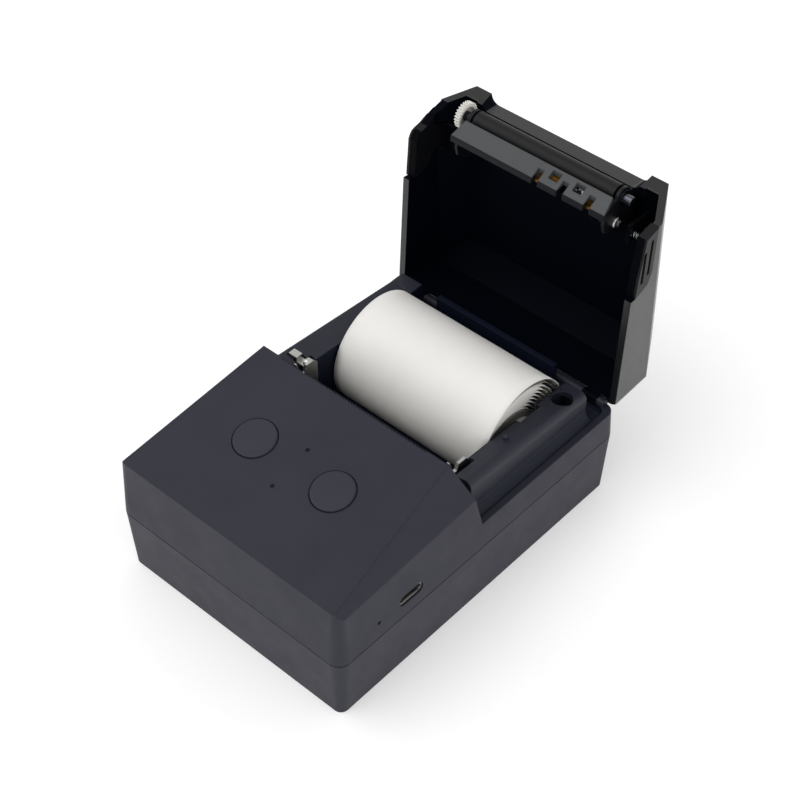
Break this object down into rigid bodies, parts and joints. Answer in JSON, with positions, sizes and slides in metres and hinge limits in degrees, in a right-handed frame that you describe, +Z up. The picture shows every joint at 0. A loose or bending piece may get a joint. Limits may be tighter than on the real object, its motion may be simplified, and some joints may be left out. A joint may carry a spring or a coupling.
{
  "type": "receipt printer",
  "caption": "Portable thermal receipt printer with a sloped button panel, hinged lid standing open, and a drop-in paper roll.",
  "frame": {"origin": "middle of the footprint, on the face the printer rests on", "axes": "+Z up, +Y from the button panel towards the hinge, +X to the printer's right"},
  "size_m": [0.085, 0.1439, 0.0959],
  "materials": {
    "dark_casing": "fine matte moulded plastic",
    "lid_plastic": "satin moulded plastic, nearly black",
    "button_plastic": "satin moulded plastic",
    "inner_plastic": "satin moulded plastic",
    "steel": "plated sheet steel",
    "screw_steel": "nickel plated",
    "roller_rubber": "matte ground rubber",
    "nylon": "natural nylon",
    "black_plastic": "black moulded plastic",
    "ceramic": "ground ceramic",
    "aluminium": "extruded",
    "circuit_board": "solder mask",
    "battery_wrap": "shrink sleeve",
    "dark_pipe": "dark smoked light pipe",
    "gold_contact": "gold flash",
    "paper": "coated thermal paper",
    "core_plastic": "plain moulded plastic",
    "foot_rubber": "moulded rubber"
  },
  "bodies": {
    "base": {"base_shell": "dark_casing", "foot_pads": "foot_rubber", "housing_screws": "screw_steel", "upper_housing": "dark_casing", "hinge_pins": "steel", "tear_bar": "steel", "paper_bay": "inner_plastic", "left_hook_plate": "steel", "right_hook_plate": "steel", "mechanism_frame": "black_plastic", "thermal_head": "ceramic", "heat_sink": "aluminium", "head_springs": "steel", "stepper_motor": "steel", "gear_post": "steel", "main_board": "circuit_board", "board_chips": "black_plastic", "usb_socket": "steel", "side_light_pipe": "dark_pipe", "battery_cells": "battery_wrap", "button_board": "circuit_board", "tact_switches": "black_plastic", "light_pipes": "dark_pipe", "panel_board_posts": "black_plastic"},
    "lid": {"lid_shell": "lid_plastic", "platen_bracket": "black_plastic", "bracket_screws": "screw_steel", "paper_guide": "inner_plastic", "sensor_board": "circuit_board", "paper_sensor": "black_plastic", "gap_sensor": "gold_contact", "platen_bushings": "steel", "left_release_spring": "steel", "right_release_spring": "steel"},
    "platen": {"platen_shaft": "steel", "platen_roller": "roller_rubber", "platen_gear": "nylon"},
    "motor_pinion": {"motor_pinion": "gold_contact"},
    "output_gear": {"output_gear": "nylon"},
    "paper_roll": {"paper_roll": "paper", "paper_core": "core_plastic"},
    "feed_button": {"feed_button": "button_plastic"},
    "power_button": {"power_button": "button_plastic"},
    "left_release": {"left_release_button": "lid_plastic"},
    "right_release": {"right_release_button": "lid_plastic"}
  },
  "joints": [
    {"name": "lid_hinge", "type": "hinge", "parent": "base", "child": "lid", "pos_m": [0, 0.05757, 0.03097], "axis": [1, 0, 0], "range_deg": [0, 92.8]},
    {"name": "platen_spin", "type": "hinge", "parent": "lid", "child": "platen", "pos_m": [0, 0.07329, 0.09174], "axis": [1, 0, 0], "continuous": true},
    {"name": "output_gear_spin", "type": "hinge", "parent": "base", "child": "output_gear", "pos_m": [-0.03, -0.01239, 0.03805], "axis": [1, 0, 0], "continuous": true},
    {"name": "motor_spin", "type": "hinge", "parent": "base", "child": "motor_pinion", "pos_m": [-0.03, -0.01914, 0.03357], "axis": [1, 0, 0], "continuous": true},
    {"name": "paper_roll_spin", "type": "hinge", "parent": "base", "child": "paper_roll", "pos_m": [0, 0.0326, 0.0305], "axis": [1, 0, 0], "continuous": true},
    {"name": "feed_button_press", "type": "slide", "parent": "base", "child": "feed_button", "axis": [0, 0.2321, -0.9727], "range_m": [0, 0.0005], "stiffness_N_per_m": 800, "springref_m": -0.0005},
    {"name": "power_button_press", "type": "slide", "parent": "base", "child": "power_button", "axis": [0, 0.2321, -0.9727], "range_m": [0, 0.0005], "stiffness_N_per_m": 800, "springref_m": -0.0005},
    {"name": "left_release_press", "type": "slide", "parent": "lid", "child": "left_release", "axis": [1, 0, 0], "range_m": [0, 0.0012], "stiffness_N_per_m": 600, "springref_m": -0.0005, "deforming": ["left_release_spring"]},
    {"name": "right_release_press", "type": "slide", "parent": "lid", "child": "right_release", "axis": [-1, 0, 0], "range_m": [0, 0.0012], "stiffness_N_per_m": 600, "springref_m": -0.0005, "deforming": ["right_release_spring"]}
  ],
  "couplings": [
    {"joint": "motor_spin", "follows": "output_gear_spin", "ratio": -3.5}
  ]
}
